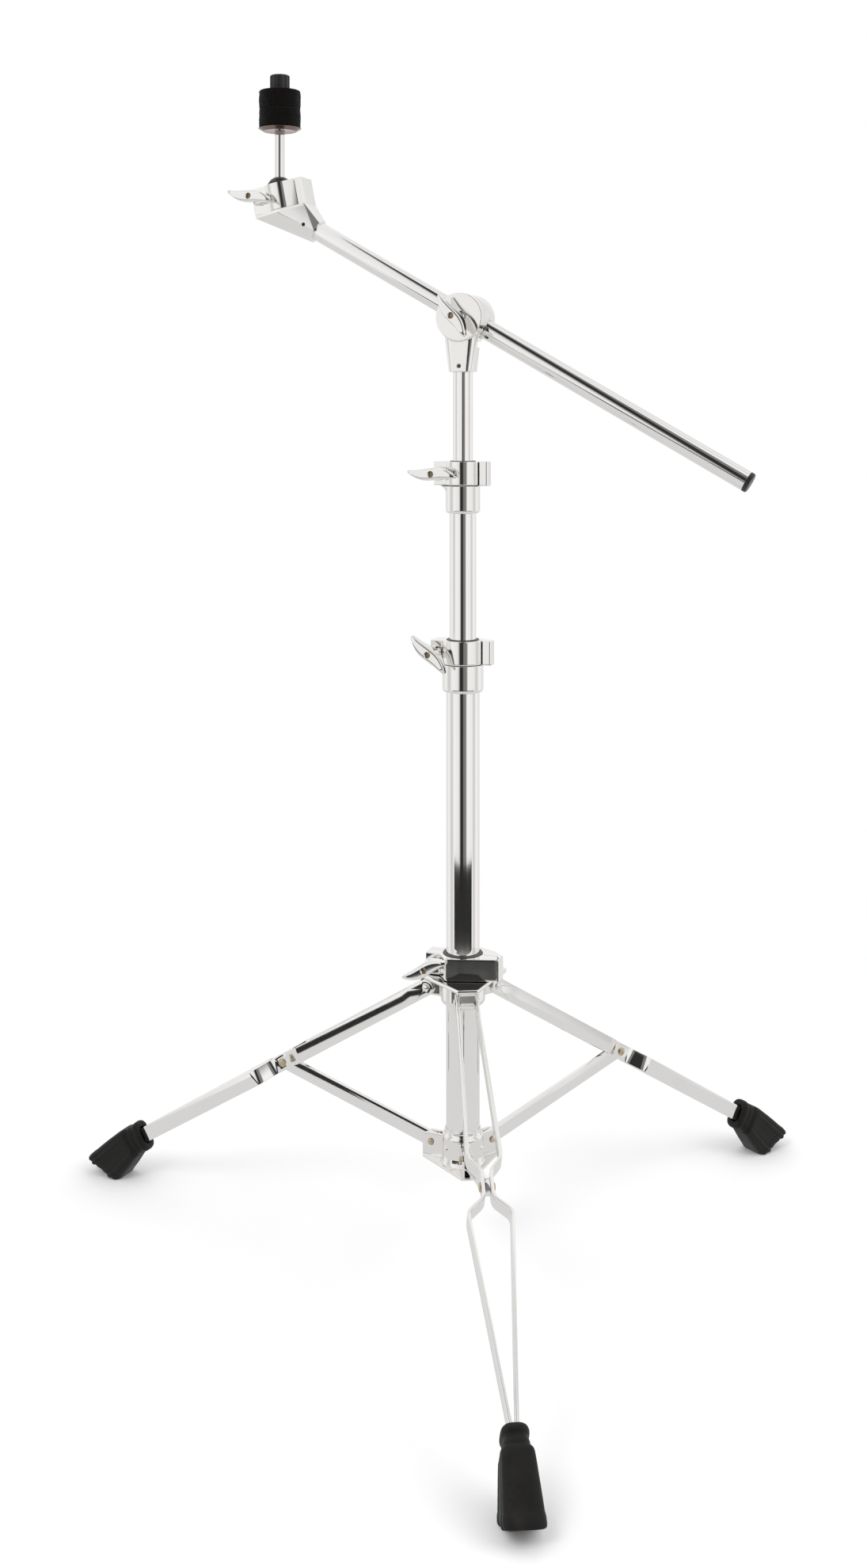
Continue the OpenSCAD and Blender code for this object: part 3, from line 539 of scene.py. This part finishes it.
def felt_mesh(name, seed, radius, height, tuft):
    """A pressed wool washer in mm, standing on z = 0, with a matted skin and loose fibres."""
    rng = random.Random(seed)
    shift = Vector((seed * 7.3, seed * 3.1, seed * 5.7))
    bore, edge = FELT_BORE, FELT_EDGE
    profile = [(bore, 0.4), (bore + 3, 0.05), (radius * 0.55, 0.0), (radius - 4, 0.05)]
    for k in range(EDGE_STEPS + 1):
        a = math.pi / 2 * k / EDGE_STEPS
        profile.append((radius - edge + edge * math.sin(a), edge - edge * math.cos(a)))
    for k in range(1, WALL_STEPS):
        t = k / WALL_STEPS
        swell = 0.25 * math.sin(math.pi * t)
        profile.append((radius + swell, edge + (height - 2 * edge) * t))
    for k in range(EDGE_STEPS + 1):
        a = math.pi / 2 * k / EDGE_STEPS
        profile.append((radius - edge + edge * math.cos(a), height - edge + edge * math.sin(a)))
    profile += [(radius - 4, height), (radius * 0.55, height), (bore + 3, height - 0.05),
                (bore, height - 0.4)]
    bm = bmesh.new()
    rings = []
    for r, z in profile:
        ring = []
        for i in range(FELT_SEGMENTS):
            t = 2 * math.pi * i / FELT_SEGMENTS
            base = Vector((r * math.cos(t), r * math.sin(t), z))
            outward = Vector((math.cos(t), math.sin(t), 0))
            lump = noise.noise(base * 0.11 + shift) * 0.55 + noise.noise(base * 0.5 + shift) * 0.3
            fuzz = noise.noise(base * 1.7 + shift) * 0.14
            share = min(max((r - bore - 3) / 6, 0), 1)
            base += outward * (lump + fuzz) * share
            ring.append(base)
        rings.append(add_ring(bm, ring))
    for one, two in zip(rings, rings[1:] + rings[:1]):
        bridge(bm, one, two)

    def strand(root, direction, length, thick):
        side = direction.cross(Vector((0.3, 0.2, 1))).normalized() * thick
        other = direction.cross(side).normalized() * thick
        bend = Vector((rng.uniform(-1, 1), rng.uniform(-1, 1), rng.uniform(-0.8, 0.8)))
        last = None
        for step in range(4):
            t = step / 3
            centre = root + direction * length * t + bend * length * 0.45 * t * t
            width = 1 - 0.7 * t
            ring = add_ring(bm, [centre + side * width, centre + other * width,
                                 centre - (side + other) * width * 0.7])
            if last:
                bridge(bm, last, ring)
            else:
                bm.faces.new(ring[::-1])
            last = ring
        bm.faces.new(last)

    for _ in range(STRANDS):
        t = rng.uniform(0, 2 * math.pi)
        z = rng.uniform(0.3, height - 0.3)
        inset = 0.5 if edge < z < height - edge else 0.9
        out = Vector((math.cos(t), math.sin(t), 0))
        root = out * (radius - inset) + Vector((0, 0, z))
        along = Vector((-math.sin(t), math.cos(t), 0)) * rng.uniform(-1.6, 1.6)
        strand(root, (out + along + Vector((0, 0, rng.uniform(-0.9, 0.9)))).normalized(),
               rng.uniform(0.7, 1.5), 0.05)
    if tuft:
        for _ in range(TUFT_STRANDS):
            t = TUFT_TURN + rng.uniform(-0.12, 0.12)
            out = Vector((math.cos(t), math.sin(t), 0))
            root = out * (radius - 1.0) + Vector((0, 0, height - rng.uniform(1.0, 3.5)))
            strand(root, (out * 0.8 + Vector((0, rng.uniform(-0.4, 0.4), rng.uniform(0.0, 1.0)))
                          ).normalized(), rng.uniform(1.0, 2.4), 0.09)
    return finished_mesh(name, bm)


rod_axis = Vector(joints["rod_tilt"]["pos_m"])
for node, body, seed, radius, tuft in (("lower_felt", "cymbal_mast", 3, 20.3, False),
                                       ("upper_felt", "top_felt", 8, 20.1, True)):
    low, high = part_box(node)
    mesh = felt_mesh(node + "_wool", seed, radius, (high.z - low.z) / MM + SEAM_OVERLAP, tuft)
    piece(node + "_wool", mesh, Matrix.Translation((rod_axis.x, rod_axis.y, low.z)), body, node,
          "black_felt")


# ---------------------------------------------------------------- stage, light and camera

CAMERA_TURN = math.radians(-4.93)
# Elevations, in degrees, of the dark gap low in the tent, and its half width.
GAP_TOP = -12.5
GAP_BOTTOM = -19.4
GAP_REACH = 62


def sky(world):
    """A white light tent. Polished parts also see its camera slot and a low dark gap."""
    shader = Shader(world.node_tree)
    direction = shader.add("ShaderNodeTexCoord").outputs["Generated"]
    turned = shader.add("ShaderNodeMapping", {
        "Vector": direction, "Rotation": (0, 0, -CAMERA_TURN)}).outputs["Vector"]
    parts = shader.add("ShaderNodeSeparateXYZ", {"Vector": turned})
    azimuth = shader.math("ARCTAN2", parts.outputs["X"], shader.math(
        "MULTIPLY", parts.outputs["Y"], -1.0))
    # Share of a full turn, with the camera's side at 0.5 and its right at larger shares.
    share = shader.math("ADD", shader.math("DIVIDE", azimuth, 2 * math.pi), 0.5)
    around = shader.ramp(share, [
        (0.0, 0.95), (0.12, 0.8), (0.2, 0.98), (0.27, 0.62), (0.33, 0.98), (0.425, 0.86),
        (0.455, 0.03), (0.5, 0.03), (0.505, 0.2), (0.555, 0.22), (0.575, 0.97), (0.68, 0.9),
        (0.72, 0.62), (0.78, 0.98), (0.9, 0.8), (1.0, 0.95)])
    height = shader.math("MULTIPLY", shader.math("ARCSINE", parts.outputs["Z"]), 180 / math.pi)
    facing = shader.math("ABSOLUTE", azimuth)
    in_front = shader.math("LESS_THAN", facing, math.radians(GAP_REACH))
    low = shader.math("MULTIPLY", shader.math("LESS_THAN", height, GAP_TOP),
                      shader.math("GREATER_THAN", height, GAP_BOTTOM))
    gap = shader.math("MULTIPLY", in_front, low)
    below = shader.math("LESS_THAN", height, GAP_BOTTOM)
    upper = shader.add("ShaderNodeMix", {"Factor": below, 6: around, 7: grey(0.72)},
                       data_type="RGBA").outputs[2]
    tent = shader.add("ShaderNodeMix", {"Factor": gap, 6: upper, 7: grey(0.025)},
                      data_type="RGBA").outputs[2]
    seen = shader.add("ShaderNodeLightPath").outputs["Is Camera Ray"]
    colour = shader.add("ShaderNodeMix", {"Factor": seen, 6: tent, 7: grey(1.0)},
                        data_type="RGBA").outputs[2]
    spread = shader.add("ShaderNodeLightPath").outputs["Is Diffuse Ray"]
    strength = shader.math("ADD", shader.math("MULTIPLY", spread, 0.16), 1.0)
    background = shader.add("ShaderNodeBackground", {"Color": colour, "Strength": strength})
    shader.add("ShaderNodeOutputWorld", {"Surface": background.outputs[0]})


scene = bpy.context.scene
scene.view_settings.view_transform = "Standard"
scene.world = bpy.data.worlds.new("tent")
scene.world.use_nodes = True
sky(scene.world)

camera_data = bpy.data.cameras.new("camera")
camera_data.sensor_width = 36.0
camera_data.lens = 38.64
camera_data.shift_y = -0.2333
camera = bpy.data.objects.new("camera", camera_data)
camera.location = (-0.164, -1.579, 0.7866)
camera.rotation_euler = (math.radians(90), 0.0, CAMERA_TURN)
scene.collection.objects.link(camera)
scene.camera = camera


def area_light(name, location, size, power):
    data = bpy.data.lights.new(name, "AREA")
    data.shape = "DISK"
    data.size = size
    data.energy = power
    light = bpy.data.objects.new(name, data)
    light.location = location
    light.rotation_euler = (Vector((0, 0, 0.6)) - Vector(location)).to_track_quat(
        "-Z", "Y").to_euler()
    light.visible_glossy = False
    scene.collection.objects.link(light)


area_light("key", (-1.6, -1.8, 2.6), 1.6, 24)
area_light("fill", (2.0, -1.0, 1.8), 1.8, 16)


# Where the paper starts to fade, in metres from the stand, and how fast.
FADE_START = 0.55
FADE_RATE = 1.1


def floor_paper(shader):
    """White paper, barely darker where the stand shades it, that fades into the backdrop."""
    fibre = shader.noise(7.0, 3.0, 0.5)
    colour = shader.ramp(fibre, [(0.3, 0.95), (0.7, 0.97)])
    paper = principled(shader, Base_Color=colour, Roughness=0.9, Specular_IOR_Level=0.1)
    place = shader.add("ShaderNodeTexCoord").outputs["Object"]
    reach = shader.add("ShaderNodeVectorMath", {0: place}, operation="LENGTH").outputs["Value"]
    fade = shader.math("MULTIPLY", shader.math("SUBTRACT", reach, FADE_START), FADE_RATE,
                       clamp=True)
    glow = shader.add("ShaderNodeEmission", {"Color": grey(1.0)}).outputs[0]
    return shader.add("ShaderNodeMixShader", {0: fade, 1: paper, 2: glow}).outputs[0]


floor_mesh = bpy.data.meshes.new("floor")
floor_bm = bmesh.new()
bmesh.ops.create_grid(floor_bm, x_segments=1, y_segments=1, size=12.0)
floor_bm.to_mesh(floor_mesh)
floor_bm.free()
floor = bpy.data.objects.new("floor", floor_mesh)
floor.data.materials.append(new_material("floor_paper", floor_paper))
floor.visible_glossy = False
scene.collection.objects.link(floor)
